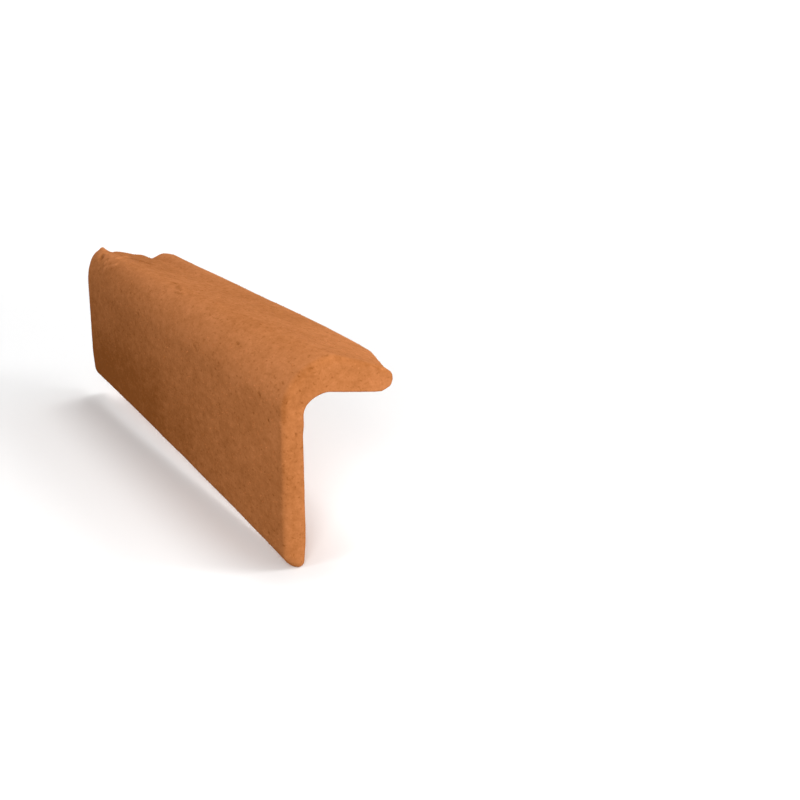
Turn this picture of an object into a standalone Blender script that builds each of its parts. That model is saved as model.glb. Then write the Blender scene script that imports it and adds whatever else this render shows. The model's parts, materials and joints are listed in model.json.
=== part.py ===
import math

import bmesh
import bpy

# A left-hand clay verge tile: a flange that lies on the edge of the roof and an apron that hangs outside it.
# In the section, x runs from the apron's outer face to the roof side and z is measured up from the crown.
# Along the tile, y runs from the eave end to the head.

# Overall form
LENGTH = 0.430
EAVE_DEPTH = 0.1218
HEAD_DEPTH = 0.1069
FLANGE_WIDTH = 0.0789
APRON_THICKNESS = 0.0126
FLANGE_THICKNESS = 0.0184
FILLET_RADIUS = 0.0148

# Underside of the flange, the seat: metres of fall for each metre towards the roof side
SEAT_FALL = 0.125

# Rounded outer corner, from the apron's face up to the crown
EAVE_CORNER_WIDTH = 0.0310
EAVE_CORNER_HEIGHT = 0.0284
EAVE_CORNER_FULLNESS = 1.80
HEAD_CORNER_WIDTH = 0.0120
HEAD_CORNER_HEIGHT = 0.0266
HEAD_CORNER_FULLNESS = 2.02

# Top of the flange, falling from the crown to the roof side, more steeply towards the eave end
TOP_FALL = 0.231
EAVE_EXTRA_FALL = 0.181
EXTRA_FALL_LENGTH = 0.102
CROWN_SOFTNESS = 0.0040

# Roof-side edge: a rounded nose over a bevel
NOSE_RADIUS = 0.0056
NOSE_SWEEP = math.radians(135)
EDGE_BEVEL = 0.0066

# Corner cut back at the eave end of the roof-side edge, with a small knob left at its very end
CUT_WIDTH = 0.0131
CUT_LENGTH = 0.0443
CUT_CURVE = 1.13
KNOB_HEIGHT = 0.0028
KNOB_LENGTH = 0.0072

# Roll along the roof-side edge, rising from nothing at the eave end to its full height at the head
ROLL_HEIGHT = 0.0048
ROLL_WIDTH = 0.0229
ROLL_RISE = 0.0124

# Nib of clay on the outer corner at the head
NIB_HEIGHT = 0.0022
NIB_FROM_FACE = 0.0138
NIB_SPREAD = 0.0030
NIB_LENGTH = 0.012

# Apron's rim, bowed up between the ends
RIM_BOW = 0.0017
RIM_OUTER_RADIUS = 0.0086
RIM_INNER_RADIUS = 0.0036

# Worn arris round both ends: soft outside, crisper inside, and rounder still at the head's outer rim corner
EAVE_OUTER_ARRIS = 0.0028
HEAD_OUTER_ARRIS = 0.0022
INNER_ARRIS = 0.0010
HEAD_RIM_ROUNDING = 0.0056
HEAD_RIM_REACH = 0.026

# Facets
RIM_OUTER_STEPS = 5
RIM_INNER_STEPS = 3
FACE_STEPS = 6
CORNER_STEPS = 12
TOP_STEPS = 15
NOSE_STEPS = 6
FILLET_STEPS = 6
ARRIS_STEPS = 3
KNOB_STATIONS = 4
CUT_STATIONS = 6
FALL_STATIONS = 4
BODY_STATIONS = 12
NIB_STATIONS = 4
SHARP_ANGLE = math.radians(35)

# Fired clay
CLAY_COLOUR = (0.52, 0.185, 0.062, 1.0)
CLAY_ROUGHNESS = 0.92


def mix(a, b, t):
    return a + (b - a) * t


def smooth_step(t):
    t = min(max(t, 0.0), 1.0)
    return t * t * (3 - 2 * t)


def arc(centre_x, centre_z, radius, start, end, steps):
    angles = [mix(start, end, i / steps) for i in range(steps + 1)]
    return [(centre_x + radius * math.cos(a), centre_z + radius * math.sin(a)) for a in angles]


def rim_radii():
    # both roundings share the apron's thickness, so a thin apron gets smaller ones
    share = min(1.0, APRON_THICKNESS / (RIM_OUTER_RADIUS + RIM_INNER_RADIUS))
    return RIM_OUTER_RADIUS * share, RIM_INNER_RADIUS * share


def seat_height(x):
    return -FLANGE_THICKNESS - (x - APRON_THICKNESS) * SEAT_FALL


def apron_depth(y):
    t = y / LENGTH
    return mix(EAVE_DEPTH, HEAD_DEPTH, t) - RIM_BOW * 4 * t * (1 - t)


def edge_cut(y):
    knob = KNOB_HEIGHT * (1 - smooth_step(y / KNOB_LENGTH))
    return CUT_WIDTH * max(0.0, 1 - y / CUT_LENGTH) ** CUT_CURVE - knob


def relief(x, y):
    # what stands on the plain top: the roll on the roof side and the nib at the head
    inner_edge = FLANGE_WIDTH - ROLL_WIDTH
    roll = ROLL_HEIGHT * y / LENGTH * smooth_step((x - inner_edge) / ROLL_RISE)
    nib = NIB_HEIGHT * (1 - smooth_step((LENGTH - y) / NIB_LENGTH))
    return roll + nib * math.exp(-((x - NIB_FROM_FACE) / NIB_SPREAD) ** 2)


def outer_corner(y):
    # from the apron's face round to the crown; a fullness of 2 is a true ellipse
    t = y / LENGTH
    width = mix(EAVE_CORNER_WIDTH, HEAD_CORNER_WIDTH, t)
    height = mix(EAVE_CORNER_HEIGHT, HEAD_CORNER_HEIGHT, t)
    power = 2 / mix(EAVE_CORNER_FULLNESS, HEAD_CORNER_FULLNESS, t)
    points = []
    for i in range(CORNER_STEPS + 1):
        a = math.pi / 2 * i / CORNER_STEPS
        x = width * (1 - max(0.0, math.cos(a)) ** power)
        z = -height * (1 - math.sin(a) ** power)
        points.append((x, z + relief(x, y)))
    return points


def apron_face(y, corner_foot):
    # outer side of the rim, then the face up to the corner
    outer, _ = rim_radii()
    rim_z = outer - apron_depth(y)
    points = arc(outer, rim_z, outer, -math.pi / 2, -math.pi, RIM_OUTER_STEPS)
    return points + [(0.0, mix(rim_z, corner_foot, i / FACE_STEPS)) for i in range(1, FACE_STEPS)]


def flange_top(y):
    # from the crown to the nose, then round the nose
    crown = mix(EAVE_CORNER_WIDTH, HEAD_CORNER_WIDTH, y / LENGTH)
    near_eave = max(0.0, 1 - y / EXTRA_FALL_LENGTH)
    fall = TOP_FALL + EAVE_EXTRA_FALL * near_eave ** 2
    nose_x = FLANGE_WIDTH - NOSE_RADIUS - edge_cut(y)
    points = []
    for i in range(1, TOP_STEPS + 1):
        x = mix(crown, nose_x, i / TOP_STEPS)
        drop = fall * (math.hypot(x - crown, CROWN_SOFTNESS) - CROWN_SOFTNESS)
        points.append((x, relief(x, y) - drop))
    nose_z = points[-1][1] - NOSE_RADIUS
    nose = arc(nose_x, nose_z, NOSE_RADIUS, math.pi / 2, math.pi / 2 - NOSE_SWEEP, NOSE_STEPS)
    return points + nose[1:]


def inner_side(y):
    # from the seat's roof-side edge, through the fillet, down the apron's inner face and round its rim
    seat_edge = FLANGE_WIDTH - EDGE_BEVEL - edge_cut(y)
    fillet_x = APRON_THICKNESS + FILLET_RADIUS
    fillet_z = seat_height(fillet_x) - FILLET_RADIUS
    _, inner = rim_radii()
    rim_z = inner - apron_depth(y)
    points = [(seat_edge, seat_height(seat_edge))]
    points += arc(fillet_x, fillet_z, FILLET_RADIUS, math.pi / 2, math.pi, FILLET_STEPS)
    points += arc(APRON_THICKNESS - inner, rim_z, inner, 0, -math.pi / 2, RIM_INNER_STEPS)
    return points


def section(y):
    corner = outer_corner(y)
    return apron_face(y, corner[0][1]) + corner + flange_top(y) + inner_side(y)


def outer_shares():
    # how far each point of the section belongs to the outer side: 1 outside, 0 inside, between them on rim and nose
    outer, inner = rim_radii()
    outer_rim = arc(outer, 0.0, outer, -math.pi / 2, -math.pi, RIM_OUTER_STEPS)
    inner_rim = arc(APRON_THICKNESS - inner, 0.0, inner, 0, -math.pi / 2, RIM_INNER_STEPS)
    shares = [1 - smooth_step(x / APRON_THICKNESS) for x, _ in outer_rim]
    shares += [1.0] * (FACE_STEPS + CORNER_STEPS + TOP_STEPS)
    shares += [1 - i / NOSE_STEPS for i in range(1, NOSE_STEPS + 1)]
    shares += [0.0] * (FILLET_STEPS + 2)
    return shares + [1 - smooth_step(x / APRON_THICKNESS) for x, _ in inner_rim]


def arris_radii(y, outer_arris, rim_rounding):
    # the end's arris radius at each point of the section, never more than the rim that it turns round
    limit, _ = rim_radii()
    radii = []
    for (_, z), share in zip(section(y), outer_shares()):
        low = smooth_step((HEAD_RIM_REACH - apron_depth(y) - z) / HEAD_RIM_REACH)
        outside = min(outer_arris + rim_rounding * low, limit)
        radii.append(mix(INNER_ARRIS, outside, share))
    return radii


def ring(places, insets):
    # each point has its own place along the tile, and its own inset where it lies on an arris
    points = []
    for i, (y, inset) in enumerate(zip(places, insets)):
        outline = section(y)
        x, z = outline[i]
        before, after = outline[i - 1], outline[(i + 1) % len(outline)]
        across, up = after[0] - before[0], after[1] - before[1]
        step = math.hypot(across, up)
        points.append((x + up / step * inset, y, z - across / step * inset))
    return points


def stations():
    # shares of the length, closer together where the section changes fast
    ends = [0.0, KNOB_LENGTH, CUT_LENGTH, EXTRA_FALL_LENGTH, LENGTH - NIB_LENGTH, LENGTH]
    counts = [KNOB_STATIONS, CUT_STATIONS, FALL_STATIONS, BODY_STATIONS, NIB_STATIONS]
    found = [0.0]
    for start, end, steps in zip(ends, ends[1:], counts):
        found += [mix(start, end, i / steps) / LENGTH for i in range(1, steps + 1)]
    return found


def tile_rings():
    eave = arris_radii(0.0, EAVE_OUTER_ARRIS, 0.0)
    head = arris_radii(LENGTH, HEAD_OUTER_ARRIS, HEAD_RIM_ROUNDING)
    turns = [math.pi / 2 * i / ARRIS_STEPS for i in range(ARRIS_STEPS)]
    rings = []
    for a in turns:
        rings.append(ring([r * (1 - math.cos(a)) for r in eave], [r * (1 - math.sin(a)) for r in eave]))
    for t in stations():
        rings.append(ring([mix(r, LENGTH - far, t) for r, far in zip(eave, head)], [0.0] * len(eave)))
    for a in reversed(turns):
        rings.append(ring([LENGTH - r * (1 - math.cos(a)) for r in head], [r * (1 - math.sin(a)) for r in head]))
    return rings


def seat_point():
    # middle of the flat underside, at mid length: the tile's own origin
    x = (APRON_THICKNESS + FILLET_RADIUS + FLANGE_WIDTH - EDGE_BEVEL) / 2
    return x, LENGTH / 2, seat_height(x)


def loft_tile():
    bm = bmesh.new()
    rings = [[bm.verts.new(point) for point in points] for points in tile_rings()]
    count = len(rings[0])
    for low, high in zip(rings, rings[1:]):
        for i in range(count):
            j = (i + 1) % count
            bm.faces.new((low[i], low[j], high[j], high[i]))
    bm.faces.new(rings[0])
    bm.faces.new(rings[-1])
    bmesh.ops.recalc_face_normals(bm, faces=bm.faces)
    mesh = bpy.data.meshes.new("verge_tile")
    bm.to_mesh(mesh)
    bm.free()
    return mesh


def clay_material():
    material = bpy.data.materials.new("fired_clay")
    material.use_nodes = True
    shader = material.node_tree.nodes["Principled BSDF"]
    shader.inputs["Base Color"].default_value = CLAY_COLOUR
    shader.inputs["Roughness"].default_value = CLAY_ROUGHNESS
    shader.inputs["Metallic"].default_value = 0.0
    return material


def build_tile():
    mesh = loft_tile()
    mesh.materials.append(clay_material())
    tile = bpy.data.objects.new("verge_tile", mesh)
    bpy.context.collection.objects.link(tile)
    tile.location = [-v for v in seat_point()]
    mesh.shade_smooth()
    mesh.set_sharp_from_angle(angle=SHARP_ANGLE)
    return tile


def main():
    for old in list(bpy.data.objects):
        bpy.data.objects.remove(old, do_unlink=True)
    build_tile()


main()
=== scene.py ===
import json
import math
import bmesh
import bpy
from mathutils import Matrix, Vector

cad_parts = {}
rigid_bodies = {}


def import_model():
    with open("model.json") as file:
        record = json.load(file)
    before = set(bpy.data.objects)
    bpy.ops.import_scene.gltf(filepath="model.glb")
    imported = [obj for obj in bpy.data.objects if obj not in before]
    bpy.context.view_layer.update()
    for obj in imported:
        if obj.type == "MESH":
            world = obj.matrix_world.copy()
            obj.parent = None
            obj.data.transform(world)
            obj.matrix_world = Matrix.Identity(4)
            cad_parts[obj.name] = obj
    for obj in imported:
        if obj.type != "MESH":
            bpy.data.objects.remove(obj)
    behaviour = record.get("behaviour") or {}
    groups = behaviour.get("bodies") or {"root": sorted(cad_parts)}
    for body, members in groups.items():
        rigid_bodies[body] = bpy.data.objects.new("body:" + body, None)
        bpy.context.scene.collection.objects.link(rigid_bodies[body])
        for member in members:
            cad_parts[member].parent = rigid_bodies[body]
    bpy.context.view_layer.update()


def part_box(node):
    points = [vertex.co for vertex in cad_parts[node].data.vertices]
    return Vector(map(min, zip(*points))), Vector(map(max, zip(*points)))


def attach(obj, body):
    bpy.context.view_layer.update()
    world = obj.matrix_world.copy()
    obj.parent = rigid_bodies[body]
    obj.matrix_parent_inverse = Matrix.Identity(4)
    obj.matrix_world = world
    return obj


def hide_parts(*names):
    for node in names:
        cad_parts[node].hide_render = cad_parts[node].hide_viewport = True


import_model()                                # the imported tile, in metres
print("frame loaded")

# Camera: a long lens, a little above the tile and off to its outer side

view = {
    "place": (-0.2964, -0.8316, 0.1894),
    "down": 15.83,                               # degrees below level
    "turn": 27.385,                              # degrees from the tile's length towards the roof side
    "lens": 56.49,                               # mm
    "sensor": 36,                                # mm, the frame's width
}


def addCamera():
    camera = bpy.data.objects.new("camera", bpy.data.cameras.new("camera"))
    camera.data.lens = view["lens"]
    camera.data.sensor_width = view["sensor"]
    camera.location = view["place"]
    camera.rotation_euler = (math.radians(90 - view["down"]), 0, math.radians(-view["turn"]))
    bpy.context.collection.objects.link(camera)
    bpy.context.scene.camera = camera


addCamera()
print("camera placed")

# Nodes: sums on sockets, and one way to make any node


class Number:                                    # a socket that can stand in a sum
    def __init__(self, graph, socket):
        self.graph = graph
        self.socket = socket

    def maths(self, operation, first, second=0.0):
        made = self.graph.node("ShaderNodeMath", {"operation": operation}, {0: first, 1: second})
        return made["Value"]

    def __add__(self, other):
        return self.maths("ADD", self, other)

    def __radd__(self, other):
        return self.maths("ADD", other, self)

    def __sub__(self, other):
        return self.maths("SUBTRACT", self, other)

    def __rsub__(self, other):
        return self.maths("SUBTRACT", other, self)

    def __mul__(self, other):
        return self.maths("MULTIPLY", self, other)

    def __rmul__(self, other):
        return self.maths("MULTIPLY", other, self)

    def __truediv__(self, other):
        return self.maths("DIVIDE", self, other)

    def __rtruediv__(self, other):
        return self.maths("DIVIDE", other, self)

    def __pow__(self, other):
        return self.maths("POWER", self, other)

    def __neg__(self):
        return self.maths("MULTIPLY", self, -1.0)

    def apply(self, operation):                  # for what takes one value, such as SINE
        return self.maths(operation, self)

    def least(self, other):
        return self.maths("MINIMUM", self, other)

    def most(self, other):
        return self.maths("MAXIMUM", self, other)


class Made:                                      # a node whose outputs are read by name
    def __init__(self, graph, node):
        self.graph = graph
        self.node = node

    def __getitem__(self, name):
        return Number(self.graph, self.graph.find(self.node.outputs, name))


class Graph:                                     # one tree of nodes, for a material or for geometry
    def __init__(self, tree):
        self.tree = tree

    def find(self, sockets, name):
        if isinstance(name, int):
            return sockets[name]
        return next(socket for socket in sockets if socket.enabled and socket.name == name)

    def node(self, kind, settings=None, inputs=None):
        made = self.tree.nodes.new(kind)
        for name, value in (settings or {}).items():
            if name == "stops":
                self.setStops(made.color_ramp.elements, value)
            else:
                setattr(made, name, value)
        for name, value in (inputs or {}).items():
            socket = self.find(made.inputs, name)
            if isinstance(value, Number):
                self.tree.links.new(value.socket, socket)
            else:
                socket.default_value = value
        return Made(self, made)

    def setStops(self, elements, stops):
        while len(elements) < len(stops):
            elements.new(1.0)
        for element, (place, colour) in zip(elements, stops):
            element.position = place
            element.color = colour

    def vector(self, operation, first, second, output="Vector"):
        return self.node("ShaderNodeVectorMath", {"operation": operation}, {0: first, 1: second})[output]

    def scaled(self, direction, amount):
        made = self.node("ShaderNodeVectorMath", {"operation": "SCALE"}, {0: direction, "Scale": amount})
        return made["Vector"]

    def rise(self, value, start, end, kind="SMOOTHSTEP"):    # from 0 at the start to 1 at the end
        made = self.node("ShaderNodeMapRange", {"interpolation_type": kind}, {
            "Value": value, "From Min": start, "From Max": end})
        return made["Result"]

    def noise(self, place, scale, detail, roughness, stretch, shift=(0, 0, 0)):
        moved = self.node("ShaderNodeVectorMath", {"operation": "MULTIPLY_ADD"}, {
            0: place, 1: stretch, 2: shift})["Vector"]
        made = self.node("ShaderNodeTexNoise", {}, {
            "Vector": moved, "Scale": scale, "Detail": detail, "Roughness": roughness})
        return made["Fac"]

    def blend(self, kind, factor, first, second):
        made = self.node("ShaderNodeMix", {"data_type": kind}, {"Factor": factor, "A": first, "B": second})
        return made["Result"]


def newGeometryTree(name, sizes):
    tree = bpy.data.node_groups.new(name, "GeometryNodeTree")
    tree.interface.new_socket("Geometry", in_out="INPUT", socket_type="NodeSocketGeometry")
    kinds = {int: "NodeSocketInt", float: "NodeSocketFloat", tuple: "NodeSocketVector"}
    for size, value in sizes.items():
        tree.interface.new_socket(size, in_out="INPUT", socket_type=kinds[type(value)])
    tree.interface.new_socket("Geometry", in_out="OUTPUT", socket_type="NodeSocketGeometry")
    return Graph(tree)


def finishTree(graph, geometry, material):
    real = graph.node("GeometryNodeRealizeInstances", {}, {"Geometry": geometry})["Geometry"]
    painted = graph.node("GeometryNodeSetMaterial", {}, {"Geometry": real, "Material": material})
    graph.node("NodeGroupOutput", {}, {"Geometry": painted["Geometry"]})


def runTree(piece, graph, sizes):                # the tree's result becomes the piece's own mesh
    modifier = piece.modifiers.new("tree", "NODES")
    modifier.node_group = graph.tree
    for item in graph.tree.interface.items_tree:
        if item.in_out == "INPUT" and item.name in sizes:
            modifier[item.identifier] = sizes[item.name]
    evaluated = piece.evaluated_get(bpy.context.evaluated_depsgraph_get())
    mesh = bpy.data.meshes.new_from_object(evaluated)
    piece.modifiers.remove(modifier)
    piece.data = mesh
    mesh.name = piece.name


def newPiece(name, mesh):
    piece = bpy.data.objects.new(name, mesh)
    bpy.context.collection.objects.link(piece)
    return piece


# Marks in the clay, each a short stroke: from, to (never the same place), half width, height and tone; some
# tones are painted shade or painted highlight

marks = {
    "crownPit": ((-0.0414, -0.1256, 0.0139), (-0.0414, -0.1246, 0.0139), 0.0015, -0.0005, -0.45),
    "facePit": ((-0.0497, -0.1938, -0.0156), (-0.0497, -0.1932, -0.0156), 0.0015, -0.0005, -0.50),
    "endPit": ((-0.0418, -0.2149, -0.0194), (-0.0418, -0.2149, -0.0188), 0.0012, -0.0004, -0.35),
    "endSpeck": ((-0.0478, -0.2149, -0.0442), (-0.0478, -0.2149, -0.0438), 0.0011, -0.0002, -0.25),
    "faceCrater": ((-0.0496, -0.1815, -0.0040), (-0.0495, -0.1785, -0.0028), 0.0015, -0.0003, -0.30),
    "cornerSpot": ((-0.0498, -0.1420, -0.0115), (-0.0498, -0.1405, -0.0118), 0.0012, -0.0002, -0.25),
    "arrisSpot": ((-0.0483, -0.1968, 0.0019), (-0.0483, -0.1968, 0.0030), 0.0013, -0.0002, -0.20),
    "topSpot": ((-0.0450, -0.1850, 0.0088), (-0.0455, -0.1780, 0.0078), 0.0013, -0.0002, -0.18),
    "middleSpot": ((-0.0492, -0.0610, 0.0009), (-0.0497, -0.0700, -0.0016), 0.0014, -0.0002, -0.22),
    "farSpot": ((-0.0498, 0.0640, -0.0023), (-0.0498, 0.0680, -0.0023), 0.0016, -0.0002, -0.22),
    "topDot": ((-0.0280, 0.0380, 0.0228), (-0.0280, 0.0440, 0.0228), 0.0017, -0.0004, -0.45),
    "topScuff": ((-0.0305, 0.0270, 0.0228), (-0.0320, 0.0140, 0.0226), 0.0024, 0.0003, -0.22),
    "topScuffEnd": ((-0.0355, 0.0165, 0.0213), (-0.0341, 0.0030, 0.0217), 0.0022, 0.0002, -0.18),
    "topScar": ((-0.0232, -0.0940, 0.0229), (-0.0232, -0.0880, 0.0229), 0.0014, -0.0002, -0.20),
    # painted shade in the hollow beside the nib
    "shadeBesideNib": ((-0.0430, 0.1920, 0.0200), (-0.0415, 0.1970, 0.0210), 0.0046, -0.0009, -0.50),
    # painted highlights along the two raised ridges by the nib
    "highlightNibRidge": ((-0.0438, 0.1773, 0.0182), (-0.0358, 0.1660, 0.0229), 0.0030, 0.0006, 0.36),
    "highlightNibRidgeEnd": ((-0.0358, 0.1660, 0.0229), (-0.0228, 0.1870, 0.0205), 0.0030, 0.0005, 0.26),
    # painted light on the end face and top near the nose
    "highlightNose": ((0.0120, -0.2149, 0.0030), (0.0200, -0.2149, -0.0010), 0.0160, 0.0, 0.14),
    # painted highlight along the lower ridge
    "highlightLowRidge": ((-0.0461, 0.1727, 0.0142), (-0.0415, 0.1521, 0.0202), 0.0030, 0.0006, 0.32),
    # painted shade by the lump on the head
    "headLumpShade": ((-0.0140, 0.1525, 0.0190), (-0.0210, 0.1755, 0.0200), 0.0060, 0.0001, -0.26),
    "arrisShade": ((-0.0490, -0.2146, 0.0035), (-0.0492, -0.2146, -0.0110), 0.0032, 0.0, -0.26),
    "cornerShade": ((-0.0420, -0.2149, 0.0020), (-0.0330, -0.2149, 0.0140), 0.0110, 0.0, -0.12),
    "apronShade": ((-0.0420, -0.2149, -0.0260), (-0.0420, -0.2149, -0.0420), 0.0180, 0.0, -0.06),
    # painted light on the outer face near the eave end
    "lightOnNearFace": ((-0.0497, -0.2000, -0.0300), (-0.0497, -0.2000, -0.0620), 0.0300, 0.0, 0.06),
    # painted light on the arris at the apron's foot
    "footArrisPaintedLight": ((-0.0488, -0.2140, -0.0500), (-0.0486, -0.2140, -0.0840), 0.0055, 0.0, 0.10),
    "filletFoot": ((-0.0373, -0.2149, -0.0100), (-0.0373, -0.2149, -0.0130), 0.0080, 0.0006, 0.0),
}


def stroke(graph, place, start, end, width):     # 1 along the stroke, falling to 0 at its half width
    run = Vector(end) - Vector(start)
    offset = graph.vector("SUBTRACT", place, start)
    share = graph.vector("DOT_PRODUCT", offset, tuple(run / run.length_squared), "Value")
    nearest = graph.scaled(tuple(run), share.least(1.0).most(0.0))
    away = graph.vector("DISTANCE", offset, nearest, "Value")
    return graph.rise(away, width, 0.0)


def markSum(graph, place, column):               # all the marks' heights or tones at a place
    total = 0.0
    for start, end, width, *values in marks.values():
        total = stroke(graph, place, start, end, width) * values[column] + total
    return total


# Fired clay: sanded, matt, orange brown

clay = {
    "colour": (0.44, 0.157, 0.0495, 1.0),
    "deep": (0.264, 0.082, 0.0172, 1.0),         # two fifths darker: the dark end of specks, mottle and painted shade
    "pale": (0.616, 0.232, 0.088, 1.0),          # two fifths lighter: the light end of bits, mottle and painted light
    "roughness": 0.95,
    "gloss": 0.01,
    "drawn": 0.5,                                # how much the patterns are drawn out along the tile
    "broad": (9.0, 1.0, 0.10),                   # patterns: how many to a metre, detail, strength
    "blotches": (45.0, 2.0, 0.16),
    "mottle": (250.0, 2.0, 0.28),
    "fine": (800.0, 2.0, 0.18),
    "patternRoughness": 0.55,
    "specks": (500.0, 0.60, 0.78, 0.28),         # how many to a metre, where they start and end, strength
    "bits": (520.0, 0.66, 0.80, 0.18),           # the same for pale bits
    "grit": (1.0, 0.5),                          # detail and roughness of both
    "shifts": {                                  # keep one pattern from following another
        "broad": (0.7, 2.9, 5.1),
        "blotches": (4.0, 8.8, 1.6),
        "mottle": (5.2, 1.3, 0.4),
        "fine": (2.1, 7.7, 3.5),
        "specks": (8.1, 0.2, 6.3),
        "bits": (1.9, 4.4, 9.2),
    },
    "footShade": 0.13,                           # painted shade: the outer face darker towards the apron's foot
    "headShade": 0.45,                           # and more so towards the head,
    "upperShare": 0.3,                           # where this much of it reaches above the foot
    "edgeTone": -0.13,                           # painted shade on the upper arris of both ends, where the lamps would make it bright
    "rubbed": {                                  # painted light, where the lamps leave the clay too dark, and how much:
        "crown": 0.13,                           # the crown of the corner,
        "slope": 0.15,                           # the top beside the cut corner
        "roll": 0.17,                            # and along the roll
    },
    "zones": {                                   # where a tone lies: axis, where it starts and is full
        "head": (("Y", -0.14, 0.13),),
        "foot": (("Z", 0.0, -0.08),),
        "outerFace": (("X", -0.040, -0.046),),
        "crown": (("Z", -0.010, 0.008), ("X", -0.026, -0.038), ("Y", -0.2145, -0.2080)),
        "slope": (("X", -0.010, 0.014), ("Y", -0.2135, -0.2095), ("Y", -0.08, -0.19)),
        "roll": (("X", 0.0, 0.010), ("Y", -0.06, 0.14)),
    },
    "ragged": (480.0, 1.0, 0.0014),              # the marks' edges: how many bites to a metre, detail, depth
    "relief": 0.00013,                           # depth of the finest grain, in metres
    "mottleRelief": 0.6,                         # how much of it the mottle gets
    "markRelief": 0.5,                           # and the marks, on top of their own shape
}


def clayMaterial():
    material = bpy.data.materials.new("firedClay")
    material.use_nodes = True
    graph = Graph(material.node_tree)
    place = graph.node("ShaderNodeTexCoord")["Object"]
    across = graph.node("ShaderNodeSeparateXYZ", {}, {"Vector": place})
    along = (1, clay["drawn"], 1)

    def pattern(name):                           # centred on nought
        scale, detail, strength = clay[name]
        made = graph.noise(place, scale, detail, clay["patternRoughness"], along, clay["shifts"][name])
        return (made - 0.5) * strength * 2

    def grit(name):
        scale, start, end, strength = clay[name]
        made = graph.noise(place, scale, *clay["grit"], along, clay["shifts"][name])
        return graph.rise(made, start, end) * strength

    def zone(name):                              # 1 where the zone is full, 0 outside it
        share = 1.0
        for axis, start, full in clay["zones"][name]:
            share = graph.rise(across[axis], start, full) * share
        return share

    mottle, fine = pattern("mottle"), pattern("fine")
    specks, bits = grit("specks"), grit("bits")
    bites, detail, depth = clay["ragged"]
    warp = graph.node("ShaderNodeTexNoise", {}, {"Vector": place, "Scale": bites, "Detail": detail})["Color"]
    warp = graph.scaled(graph.vector("SUBTRACT", warp, (0.5, 0.5, 0.5)), depth)
    warped = graph.vector("ADD", place, warp)
    foot, upper = zone("foot"), clay["upperShare"]
    # painted shade: the outer face darker towards its foot and towards the head
    paintedShade = foot * clay["footShade"] + zone("head") * (upper + foot * (1 - upper)) * clay["headShade"]
    edge = graph.node("ShaderNodeAttribute", {"attribute_name": "edge"})["Fac"]
    tone = graph.node("ShaderNodeAttribute", {"attribute_name": "tone"})["Fac"]

    shift = pattern("broad") + pattern("blotches") + mottle + fine
    # painted shade on the upper arrises of both ends
    shift = shift - specks + bits + edge * clay["edgeTone"] + tone - paintedShade * zone("outerFace")
    # painted light on the crown, the slope beside the cut and the roll
    for name, paleness in clay["rubbed"].items():
        shift = shift + zone(name) * paleness
    shift = shift + markSum(graph, warped, 1)
    stops = [(0.0, clay["deep"]), (0.5, clay["colour"]), (1.0, clay["pale"])]
    colour = graph.node("ShaderNodeValToRGB", {"stops": stops}, {"Fac": shift + 0.5})["Color"]

    height = fine + mottle * clay["mottleRelief"] - specks + bits
    height = height + markSum(graph, warped, 0) / clay["relief"] * clay["markRelief"]
    bump = graph.node("ShaderNodeBump", {}, {
        "Height": height, "Strength": 1.0, "Distance": clay["relief"]})["Normal"]
    shader = material.node_tree.nodes["Principled BSDF"]
    shader.inputs["Roughness"].default_value = clay["roughness"]
    shader.inputs["Specular IOR Level"].default_value = clay["gloss"]
    for name, value in {"Base Color": colour, "Normal": bump}.items():
        material.node_tree.links.new(value.socket, shader.inputs[name])
    return material


# The tile's own body, built over the same section as the solid it replaces

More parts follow.
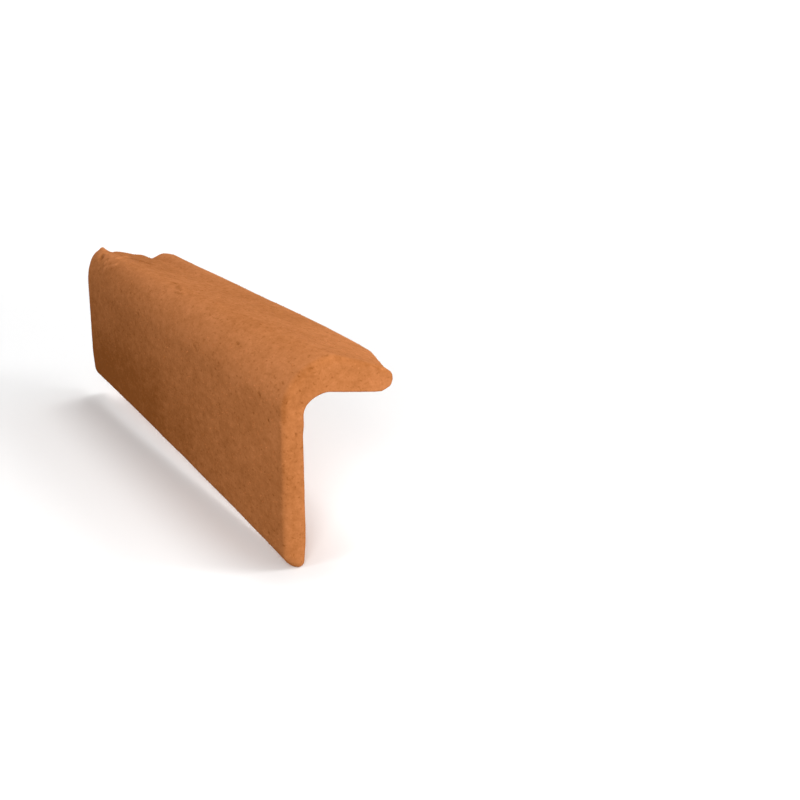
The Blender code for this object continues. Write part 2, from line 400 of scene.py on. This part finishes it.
tile = {
    "eaveDepth": 0.1218,
    "headDepth": 0.1069,
    "apronThickness": 0.0126,
    "flangeThickness": 0.0184,
    "filletRadius": 0.0148,                      # the solid's, where its flat seat starts
    "fillet": (0.0156, 0.0120, 1.80),            # width, height, fullness: 2 is round, less is flatter
    "seatFall": 0.125,                           # metres down for each metre across
    "topFall": 0.231,
    "extraFall": 0.120,                          # steeper still towards the eave end
    "extraFallLength": 0.134,
    "crownSoftness": 0.0040,
    "eaveCorner": (0.0310, 0.0284, 1.80),        # width, height, fullness
    "headCorner": (0.0120, 0.0266, 1.99),
    "noseRadius": 0.0056,
    "edgeBevel": 0.0066,
    "rimOuterRadius": 0.0086,
    "rimInnerRadius": 0.0036,
    "rimBow": 0.0017,
    "bowStart": 0.0350,
    "cutWidth": 0.0142,                          # the corner cut back at the eave end
    "cutLength": 0.0472,
    "cutCurve": 1.09,
    "knobHeight": 0.0036,                        # and the small knob left at its very end
    "knobDrop": 0.0028,
    "knobWidth": 0.0130,
    "knobFill": 0.0006,                          # how square its upper corner is
    "knobStart": 0.0040,                         # how far before the edge's bevel it starts to swell
    "knobFull": 0.0010,                          # and how far past it the swelling is full
    "knobFlat": 0.0007,                          # where along the tile the knob starts to fall off
    "knobLength": 0.0032,                        # and where it ends
    "rollHeight": 0.0050,                        # the roll along the roof-side edge
    "rollWidth": 0.0233,
    "rollRise": 0.0112,
    "headLine": {                                # the head's top line: place, height, spread, length
        "nib": (0.0140, 0.0029, 0.0027, 0.0120),
        "notch": (0.0213, -0.0012, 0.0024, 0.0100),
        "swell": (0.0300, 0.0006, 0.0090, 0.0180),
        "lip": (0.0465, 0.0008, 0.0045, 0.0160),
        "dip": (0.0545, -0.0010, 0.0028, 0.0220),
        "brow": (0.0710, 0.0004, 0.0040, 0.0150),
    },
    "eaveArris": 0.0033,                         # worn arris on the outer side of the eave end,
    "eaveArrisFoot": 0.0016,                     # what it gains at the foot
    "footSpan": (-0.050, -0.100),                # between these heights,
    "eaveArrisTop": 0.0015,                      # what it gains at the crown
    "topSpan": (-0.024, -0.004),
    "noseArris": 0.0012,                         # and what is left of it at the nose,
    "noseSpan": (0.026, 0.009),                  # between these distances from the flange's edge
    "headArris": 0.0015,
    "innerArris": 0.0010,
    "headRimRounding": 0.0078,                   # the head's outer rim corner is rounder still
    "headRimReach": 0.0260,
    "arrisWear": 0.45,                           # share by which an arris's radius wanders
    "arrisPattern": (9.0, 4.0, 0.6),             # how often, in what detail, how roughly
    "grimeSpan": (-0.035, -0.010),               # heights between which the painted shade starts on the arrises
    "edgeShadeStart": 0.35,                          # and how far out through the clay it starts
    "footTaper": 0.0012,                         # the apron's inner side leans out over its last bit
    "footTaperHeight": 0.0170,
    "ripples": {                                 # how many to a metre, detail, roughness, drawn out, height
        "wobble": (13.0, 1.0, 0.5, 1.0, 0.0004),
        "lumps": (75.0, 2.0, 0.5, clay["drawn"], 0.00018),
        "grain": (420.0, 2.0, 0.6, clay["drawn"], 0.00007),
    },
    "endFade": 24,                               # how soon a rim's rounding dies out inside an end face
    "steps": {                                   # facets along each stretch of the section
        "outer": (5, 54, 34, 41, 6),             # rim, face, corner, top, nose
        "inner": (2, 60, 20, 58),                # rim, face, fillet, seat
        "rim": (2, 1, 6),                        # inner rounding, flat, outer rounding
        "nose": (4, 5),                          # bevel, under the nose
    },
    "stepsAlong": 280,
    "arrisSteps": 6,
}
low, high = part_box("verge_tile")
tile["length"] = high.y - low.y
tile["flangeWidth"] = high.x - low.x


def mix(a, b, t):
    return a + (b - a) * t


def arcPath(centre, radius, start, end, fullness=2.0):    # degrees, from the roof side anticlockwise
    wide, tall = radius if isinstance(radius, tuple) else (radius, radius)

    def point(t):
        angle = math.radians(mix(start, end, t))
        across, up = math.cos(angle), math.sin(angle)
        return (centre[0] + wide * math.copysign(abs(across) ** (2 / fullness), across),
                centre[1] + tall * math.copysign(abs(up) ** (2 / fullness), up))
    return point


def linePath(start, end):
    return lambda t: (mix(start[0], end[0], t), mix(start[1], end[1], t))


def walk(paths, steps):                          # one line of points through all the paths
    points = [paths[0](0.0)]
    for path, count in zip(paths, steps):
        points += [path(i / count) for i in range(1, count + 1)]
    return points


def seatHeight(x):
    return -tile["flangeThickness"] - (x - tile["apronThickness"]) * tile["seatFall"]


def seatPoint():                                 # the tile's origin: the middle of the flat underside
    x = (tile["apronThickness"] + tile["filletRadius"] + tile["flangeWidth"] - tile["edgeBevel"]) / 2
    return x, tile["length"] / 2, seatHeight(x)


def sectionGuides(atHead):                       # outer side, inner side, rim and nose of one end
    width, height, fullness = tile["headCorner" if atHead else "eaveCorner"]
    depth = tile["headDepth" if atHead else "eaveDepth"]
    outer, inner, nose = tile["rimOuterRadius"], tile["rimInnerRadius"], tile["noseRadius"]
    thick = tile["apronThickness"]
    filletWidth, filletHeight, filletFullness = tile["fillet"]
    noseX = tile["flangeWidth"] - nose
    seatX = tile["flangeWidth"] - tile["edgeBevel"]

    def corner(t):
        a, power = math.pi / 2 * t, 2 / fullness
        return width * (1 - max(0.0, math.cos(a)) ** power), -height * (1 - math.sin(a) ** power)

    def top(t):
        x = mix(width, noseX, t)
        softness = tile["crownSoftness"]
        return x, -tile["topFall"] * (math.hypot(x - width, softness) - softness)

    rimCentre = (outer, outer - depth)
    innerRimCentre = (thick - inner, inner - depth)
    noseCentre = (noseX, top(1.0)[1] - nose)
    filletCentre = (thick + filletWidth, seatHeight(thick + filletWidth) - filletHeight)
    underNose = arcPath(noseCentre, nose, -45, 0)
    seatEdge = (seatX, seatHeight(seatX))
    outerLine = walk([
        arcPath(rimCentre, outer, 225, 180),
        linePath((0.0, rimCentre[1]), (0.0, -height)),
        corner,
        top,
        arcPath(noseCentre, nose, 90, 0),
    ], tile["steps"]["outer"])
    innerLine = walk([
        arcPath(innerRimCentre, inner, -45, 0),
        linePath((thick, innerRimCentre[1]), (thick, filletCentre[1])),
        arcPath(filletCentre, (filletWidth, filletHeight), 180, 90, filletFullness),
        linePath((filletCentre[0], filletCentre[1] + filletHeight), seatEdge),
    ], tile["steps"]["inner"])
    rimLine = walk([
        arcPath(innerRimCentre, inner, -45, -90),
        linePath((innerRimCentre[0], -depth), (rimCentre[0], -depth)),
        arcPath(rimCentre, outer, 270, 225),
    ], tile["steps"]["rim"])
    noseLine = walk([linePath(seatEdge, underNose(0.0)), underNose], tile["steps"]["nose"])
    return outerLine, innerLine, rimLine, noseLine


def outwardOf(line, side):                       # unit normals in the section, side 1 is left of the walk
    normals = []
    for i in range(len(line)):
        a, b = line[max(i - 1, 0)], line[min(i + 1, len(line) - 1)]
        along = Vector((b[0] - a[0], b[1] - a[1])).normalized()
        normals.append((-along.y * side, along.x * side))
    return normals


def bulgeOf(values):                             # how far a line departs from the straight between its ends
    count = len(values) - 1
    straight = [[mix(a, b, i / count) for a, b in zip(values[0], values[-1])] for i in range(count + 1)]
    return [tuple(v - s for v, s in zip(value, run)) for value, run in zip(values, straight)]


def guideMesh():
    places, outwards, tops = [], [], []
    bevelSteps = tile["steps"]["nose"][0]
    for atHead in (False, True):
        outerLine, innerLine, rimLine, noseLine = sectionGuides(atHead)
        outerNormals, innerNormals = outwardOf(outerLine, 1), outwardOf(innerLine, -1)
        rimNormals, noseNormals = outwardOf(rimLine, 1), outwardOf(noseLine, -1)
        noseTops = [(min(1.0, i / bevelSteps), 0.0) for i in range(len(noseLine))]
        for normals, start, end in ((rimNormals, innerNormals[0], outerNormals[0]),
                                    (noseNormals, innerNormals[-1], outerNormals[-1])):
            normals[0], normals[-1] = start, end
        places += outerLine + innerLine + bulgeOf(rimLine) + bulgeOf(noseLine)
        outwards += outerNormals + innerNormals + bulgeOf(rimNormals) + bulgeOf(noseNormals)
        tops += [1.0] * len(outerLine) + [0.0] * (len(innerLine) + len(rimLine))
        tops += [top for top, _ in bulgeOf(noseTops)]
    mesh = bpy.data.meshes.new("guides")
    mesh.from_pydata([(x, 0.0, z) for x, z in places], [], [])
    outward = mesh.attributes.new("outward", "FLOAT_VECTOR", "POINT")
    outward.data.foreach_set("vector", [v for x, z in outwards for v in (x, 0.0, z)])
    onTop = mesh.attributes.new("onTop", "FLOAT", "POINT")
    onTop.data.foreach_set("value", tops)
    return mesh


bodyInputs = (
    "length", "eaveDepth", "headDepth", "flangeWidth", "seatFall", "topFall", "extraFall", "extraFallLength",
    "crownSoftness", "rimBow", "bowStart", "cutWidth", "cutLength", "cutCurve", "knobHeight", "knobDrop",
    "knobWidth", "knobFill", "knobStart", "knobFull", "knobFlat", "knobLength", "rollHeight", "rollWidth",
    "rollRise", "eaveArris", "eaveArrisFoot", "eaveArrisTop", "noseArris", "headArris", "innerArris",
    "headRimRounding", "headRimReach", "arrisWear", "edgeShadeStart", "footTaper", "footTaperHeight",
)


def bodyTree(material):
    sizes = {name: tile[name] for name in bodyInputs}
    sizes["origin"] = seatPoint()
    for name, values in tile["headLine"].items():
        sizes.update(zip((name + "Place", name + "Height", name + "Spread", name + "Length"), values))
    for name, values in tile["ripples"].items():
        sizes[name] = values[-1]
    graph = newGeometryTree("tileBody", sizes)
    given = graph.node("NodeGroupInput")
    around, through = sum(tile["steps"]["outer"]), sum(tile["steps"]["rim"])
    along, arrisSteps = tile["stepsAlong"], tile["arrisSteps"]

    # a block of vertices: x goes round from rim to nose, y along the tile, z from inner to outer side
    block = graph.node("GeometryNodeMeshCube", {}, {
        "Size": (1, 1, 1), "Vertices X": around + 1, "Vertices Y": along + 1, "Vertices Z": through + 1})
    here = graph.node("GeometryNodeInputPosition")["Position"]
    split = graph.node("ShaderNodeSeparateXYZ", {}, {"Vector": here})
    round_, run, out = split["X"] + 0.5, split["Y"] + 0.5, split["Z"] + 0.5
    step = (run * along).apply("ROUND")
    towardsHead = graph.rise(step, arrisSteps, along - arrisSteps, kind="LINEAR")

    def sample(attribute, kind, offset, fraction, count):
        index = (fraction * count).apply("ROUND") + offset
        whole = graph.node("FunctionNodeFloatToInt", {"rounding_mode": "ROUND"}, {"Float": index})["Integer"]
        return graph.node("GeometryNodeSampleIndex", {"data_type": kind}, {
            "Geometry": given["Geometry"], "Value": attribute, "Index": whole})["Value"]

    def fromGuides(attribute, kind, innerShare=1.0, outerShare=1.0):    # the guides' value at this vertex
        ends = []
        blockSize = 2 * (around + 1) + 2 * (through + 1)
        for start in (0, blockSize):
            outer = sample(attribute, kind, start, round_, around)
            inner = sample(attribute, kind, start + around + 1, round_, around)
            rim = sample(attribute, kind, start + 2 * (around + 1), out, through)
            nose = sample(attribute, kind, start + 2 * (around + 1) + through + 1, out, through)
            nearRim, nearNose = (1 - round_) ** tile["endFade"], round_ ** tile["endFade"]
            if kind == "FLOAT":
                ends.append(inner * (1 - out) + outer * out + rim * nearRim + nose * nearNose)
            else:
                sides = graph.scaled(inner, innerShare), graph.scaled(outer, outerShare)
                across = graph.blend("VECTOR", out, *sides)
                bulges = graph.vector("ADD", graph.scaled(rim, nearRim), graph.scaled(nose, nearNose))
                share = graph.blend("FLOAT", out, innerShare, outerShare)
                ends.append(graph.vector("ADD", across, graph.scaled(bulges, share)))
        return graph.blend("FLOAT" if kind == "FLOAT" else "VECTOR", towardsHead, *ends)

    # worn arris round both ends: the first and last few steps turn a quarter circle
    nearTurn = step.least(arrisSteps) * (math.pi / 2 / arrisSteps)
    farTurn = (along - step).least(arrisSteps) * (math.pi / 2 / arrisSteps)

    def read(name, kind):
        return graph.node("GeometryNodeInputNamedAttribute", {"data_type": kind}, {"Name": name})["Attribute"]

    outward = read("outward", "FLOAT_VECTOR")
    place = fromGuides(here, "FLOAT_VECTOR")
    onTop = fromGuides(read("onTop", "FLOAT"), "FLOAT")
    onSection = graph.node("ShaderNodeSeparateXYZ", {}, {"Vector": place})
    placeX, placeZ = onSection["X"], onSection["Z"]
    wander = graph.noise(here, *tile["arrisPattern"], (1, 0, 0.1), (0, 3.1, 0))    # round the section only
    wander = 1 + given["arrisWear"] * (wander - 0.5) * 2
    rimLevel = -given["headDepth"]
    towardsRim = graph.rise(placeZ, rimLevel + given["headRimReach"], rimLevel)
    headOuter = (given["headArris"] + given["headRimRounding"] * towardsRim) * wander
    noseFrom, noseFull = tile["noseSpan"]
    atNose = graph.rise(placeX, given["flangeWidth"] - noseFrom, given["flangeWidth"] - noseFull)
    eaveOuter = given["eaveArris"] + given["eaveArrisTop"] * graph.rise(placeZ, *tile["topSpan"])
    eaveOuter = eaveOuter + given["eaveArrisFoot"] * graph.rise(placeZ, *tile["footSpan"])
    eaveOuter = graph.blend("FLOAT", atNose, eaveOuter, given["noseArris"]) * wander
    nearArris = graph.blend("FLOAT", out, given["innerArris"], eaveOuter)
    farArris = graph.blend("FLOAT", out, given["innerArris"], headOuter)
    y = nearArris * (1 - nearTurn.apply("COSINE"))
    y = y + towardsHead * (given["length"] - nearArris - farArris)
    y = y + farArris * farTurn.apply("COSINE")
    nearDepth, farDepth = 1 - nearTurn.apply("SINE"), 1 - farTurn.apply("SINE")
    innerInset = given["innerArris"] * (nearDepth + farDepth)
    outerInset = eaveOuter * nearDepth + headOuter * farDepth
    inset = fromGuides(outward, "FLOAT_VECTOR", innerInset, outerInset)
    inward = graph.vector("SUBTRACT", place, inset)
    section = graph.node("ShaderNodeSeparateXYZ", {}, {"Vector": inward})

    # the corner cut back at the eave end slides the edge along both slopes
    nearEave = (1 - y / given["cutLength"]).most(0.0)
    cut = given["cutWidth"] * nearEave ** given["cutCurve"]
    knob = graph.rise(y, given["knobLength"], given["knobFlat"])
    slideStart, slideEnd = tile["eaveCorner"][0], tile["flangeWidth"] - tile["edgeBevel"]
    slide = cut * graph.rise(section["X"], slideStart, slideEnd, kind="LINEAR")
    swollen = graph.rise(section["X"], slideEnd - given["knobStart"], slideEnd + given["knobFull"])
    bulge = given["knobHeight"] * knob * swollen
    roundNose = ((section["X"] - slideEnd) / (tile["flangeWidth"] - slideEnd)).most(0.0).least(1.0)
    quarter = 2 * roundNose * (1 - roundNose * roundNose) ** 0.5    # most at 45 degrees round the nose
    fill = given["knobFill"] * knob * quarter * out ** tile["endFade"]
    x = section["X"] - slide + bulge + fill
    z = section["Z"] + slide * graph.blend("FLOAT", onTop, given["seatFall"], given["topFall"])
    z = z - bulge * given["topFall"] * onTop + fill

    # steeper fall beyond the crown near the eave, and the roll and nib that stand on the top
    topX = x.least(given["flangeWidth"] - tile["noseRadius"] - cut)
    crown = graph.blend("FLOAT", towardsHead, tile["eaveCorner"][0], tile["headCorner"][0])
    past = (topX - crown).most(0.0)
    softness = given["crownSoftness"]
    extraNear = (1 - y / given["extraFallLength"]).most(0.0)
    reach = (past * past + softness * softness) ** 0.5 - softness
    rollFrom = given["flangeWidth"] - given["rollWidth"]
    roll = given["rollHeight"] * towardsHead * graph.rise(topX, rollFrom, rollFrom + given["rollRise"])
    edgeX = given["flangeWidth"] - cut
    atKnob = knob * graph.rise(x, edgeX - given["knobWidth"], edgeX)
    raised = roll - given["extraFall"] * extraNear * extraNear * reach - given["knobDrop"] * atKnob
    for name in tile["headLine"]:
        off = (x - given[name + "Place"]) / given[name + "Spread"]
        swelling = (-(off * off)).apply("EXPONENT") * given[name + "Height"]
        raised = raised + swelling * graph.rise(y, given["length"] - given[name + "Length"], given["length"])
    z = z + onTop * raised
    bow = given["rimBow"] * 4 * towardsHead * (1 - towardsHead)    # most at mid length
    z = z + bow * graph.rise(-z, given["bowStart"], given["eaveDepth"], kind="LINEAR")
    aboveFoot = z + graph.blend("FLOAT", towardsHead, given["eaveDepth"], given["headDepth"]) - bow
    x = x - given["footTaper"] * (1 - out) * graph.rise(aboveFoot, given["footTaperHeight"], 0.0)

    # painted shade where the upper arrises turn
    turned = (nearTurn * 2).apply("SINE") + (farTurn * 2).apply("SINE")
    edge = turned * graph.rise(placeZ, *tile["grimeSpan"]) * graph.rise(out, given["edgeShadeStart"], 1.0)
    marked = graph.node("GeometryNodeStoreNamedAttribute", {"data_type": "FLOAT", "domain": "POINT"}, {
        "Geometry": block["Mesh"], "Name": "edge", "Value": edge})

    placed = graph.node("ShaderNodeCombineXYZ", {}, {"X": x, "Y": y, "Z": z})["Vector"]
    settled = graph.vector("SUBTRACT", placed, given["origin"])
    shaped = graph.node("GeometryNodeSetPosition", {}, {"Geometry": marked["Geometry"], "Position": settled})

    # hand-made surface: a slow wobble, small lumps and the sanded grain
    normal = graph.node("GeometryNodeInputNormal")["Normal"]
    rough = 0.0
    for name, (scale, detail, roughness, drawn, _) in tile["ripples"].items():
        ripple = graph.noise(here, scale, detail, roughness, (1, drawn, 1)) - 0.5
        rough = ripple * given[name] * 2 + rough
    rough = rough + markSum(graph, here, 0)
    rippled = graph.node("GeometryNodeSetPosition", {}, {
        "Geometry": shaped["Geometry"], "Offset": graph.scaled(normal, rough)})
    smooth = graph.node("GeometryNodeSetShadeSmooth", {}, {"Geometry": rippled["Geometry"]})
    finishTree(graph, smooth["Geometry"], material)
    return graph, sizes


def buildTile(material):
    piece = newPiece("clayBody", guideMesh())
    graph, sizes = bodyTree(material)
    runTree(piece, graph, sizes)
    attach(piece, "root")
    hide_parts("verge_tile")
    return piece


firedClay = clayMaterial()
tileBody = buildTile(firedClay)
print("tile body:", len(tileBody.data.polygons), "faces")

# Sand grains pressed into the clay, thickest on the outer side

sand = {
    "density": 38000.0,                          # grains on a square metre of the outer side
    "plainShare": 0.25,                          # how much of that the other sides get
    "smallest": 0.00016,                         # half the width of a grain
    "largest": 0.00042,
    "flattest": 0.7,                             # how uneven a grain is, on each axis
    "longest": 1.3,
    "facing": 0.4,                               # sides that look out or up by this much get it all
    "toneSpread": 0.18,
    "seed": 11,
}


def sandTree(material):
    sizes = dict(sand)
    graph = newGeometryTree("sandGrains", sizes)
    given = graph.node("NodeGroupInput")

    def random(kind, smallest, largest, shift):
        made = graph.node("FunctionNodeRandomValue", {"data_type": kind}, {
            "Min": smallest, "Max": largest, "Seed": given["seed"] + shift})
        return made["Value"]

    facing = graph.node("ShaderNodeSeparateXYZ", {}, {
        "Vector": graph.node("GeometryNodeInputNormal")["Normal"]})
    outerSide = graph.rise((-facing["X"]).most(facing["Z"]), 0.0, given["facing"])
    thickness = given["density"] * (given["plainShare"] + outerSide * (1 - given["plainShare"]))
    points = graph.node("GeometryNodeDistributePointsOnFaces", {}, {
        "Mesh": given["Geometry"], "Density": thickness, "Seed": given["seed"]})
    grain = graph.node("GeometryNodeMeshIcoSphere", {}, {"Radius": 1.0, "Subdivisions": 1})
    size = random("FLOAT", given["smallest"], given["largest"], 1)
    shape = graph.scaled(random("FLOAT_VECTOR", given["flattest"], given["longest"], 2), size)
    grains = graph.node("GeometryNodeInstanceOnPoints", {}, {
        "Points": points["Points"], "Instance": grain["Mesh"], "Scale": shape,
        "Rotation": random("FLOAT_VECTOR", (0.0, 0.0, 0.0), (math.tau, math.tau, math.tau), 3)})
    toned = graph.node("GeometryNodeStoreNamedAttribute", {"data_type": "FLOAT", "domain": "INSTANCE"}, {
        "Geometry": grains["Instances"], "Name": "tone",
        "Value": random("FLOAT", -given["toneSpread"], given["toneSpread"], 4)})
    finishTree(graph, toned["Geometry"], material)
    return graph, sizes


def scatterSand(body, material):
    piece = newPiece("sandGrains", body.data.copy())
    graph, sizes = sandTree(material)
    runTree(piece, graph, sizes)
    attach(piece, "root")
    return piece


sandGrains = scatterSand(tileBody, firedClay)
print("sand grains:", len(sandGrains.data.polygons), "faces")

# Studio: a pale floor that curves up all round, and soft lights

studio = {
    "floorDrop": 0.0006,                         # below the tile's lowest point
    "floorRadius": 2.4,
    "coveRadius": 1.4,
    "wallHeight": 1.6,
    "floorColour": (0.96, 0.96, 0.96, 1.0),
    "floorRoughness": 0.9,
    "floorGloss": 0.2,
    "coveSteps": 12,
    "roundSteps": 96,
    "weld": 0.0001,                              # joins the copies of the profile's middle point
    "airColour": (1.0, 1.0, 1.0, 1.0),
    "air": {"right": 0.77, "front": 0.92, "back": 0.50, "below": 0.30},    # its brightness on each side
    "softboxes": {                               # place, aim, size in metres, watts
        "key": ((-0.55, -1.15, 0.45), (-0.01, -0.10, -0.03), 0.4, 8.4),
        "side": ((-1.1, -0.4, 0.5), (-0.01, -0.10, -0.03), 0.5, 3.7),
        "eaveTop": ((0.80, -0.55, 0.75), (0.0, -0.20, 0.0), 0.5, 4.6),
        "backdrop": ((1.2, 2.4, 2.4), (2.2, 4.4, 0.2), 2.0, 160.0),
    },
    "skies": {                                   # where the light comes from, width in degrees, strength
        "overhead": ((0.3, 0.3, 1.0), 25, 1.02),
    },
}


def floorMaterial():
    material = bpy.data.materials.new("paleFloor")
    material.use_nodes = True
    shader = material.node_tree.nodes["Principled BSDF"]
    shader.inputs["Base Color"].default_value = studio["floorColour"]
    shader.inputs["Roughness"].default_value = studio["floorRoughness"]
    shader.inputs["Specular IOR Level"].default_value = studio["floorGloss"]
    return material


def addFloor():                                  # a profile turned once round the tile
    flat, cove, steps = studio["floorRadius"], studio["coveRadius"], studio["coveSteps"]
    ground = low.z - studio["floorDrop"]
    profile = [(0.0, ground), (flat / 2, ground)]
    for i in range(steps + 1):
        angle = math.pi / 2 * i / steps
        profile.append((flat + cove * math.sin(angle), ground + cove * (1 - math.cos(angle))))
    profile.append((flat + cove, ground + cove + studio["wallHeight"]))
    bm = bmesh.new()
    points = [bm.verts.new((radius, 0.0, z)) for radius, z in profile]
    edges = [bm.edges.new(pair) for pair in zip(points, points[1:])]
    bmesh.ops.spin(bm, geom=points + edges, axis=(0, 0, 1), cent=(0, 0, 0), angle=math.tau,
                   steps=studio["roundSteps"], use_merge=True)
    bmesh.ops.remove_doubles(bm, verts=bm.verts, dist=studio["weld"])
    mesh = bpy.data.meshes.new("floor")
    bm.to_mesh(mesh)
    bm.free()
    mesh.shade_smooth()
    mesh.materials.append(floorMaterial())
    floor = newPiece("floor", mesh)
    floor.visible_diffuse = False                # keeps its glare off the clay


def addAir():                                    # light from all round, least from the apron's side
    world = bpy.data.worlds.new("air")
    world.use_nodes = True
    graph = Graph(world.node_tree)
    towards = graph.node("ShaderNodeSeparateXYZ", {}, {
        "Vector": graph.node("ShaderNodeTexCoord")["Generated"]})
    sides = {"right": towards["X"], "front": -towards["Y"], "back": towards["Y"], "below": -towards["Z"]}
    brightness = 0.0
    for name, share in sides.items():
        brightness = share.most(0.0) * studio["air"][name] + brightness
    background = world.node_tree.nodes["Background"]
    background.inputs["Color"].default_value = studio["airColour"]
    world.node_tree.links.new(brightness.socket, background.inputs["Strength"])
    bpy.context.scene.world = world


def addLight(name, kind, place, aim, power):
    light = bpy.data.lights.new(name, kind)
    light.energy = power
    holder = bpy.data.objects.new(name, light)
    holder.location = place
    holder.rotation_euler = (Vector(aim) - Vector(place)).to_track_quat("-Z", "Y").to_euler()
    holder.visible_camera = False
    bpy.context.collection.objects.link(holder)
    return light


def addStudio():
    addFloor()
    addAir()
    for name, (place, aim, size, power) in studio["softboxes"].items():
        light = addLight(name, "AREA", place, aim, power)
        light.shape = "DISK"
        light.size = size
    for name, (place, width, strength) in studio["skies"].items():
        light = addLight(name, "SUN", place, (0, 0, 0), strength)
        light.angle = math.radians(width)
    bpy.context.scene.view_settings.view_transform = "Standard"


addStudio()
print("studio set")
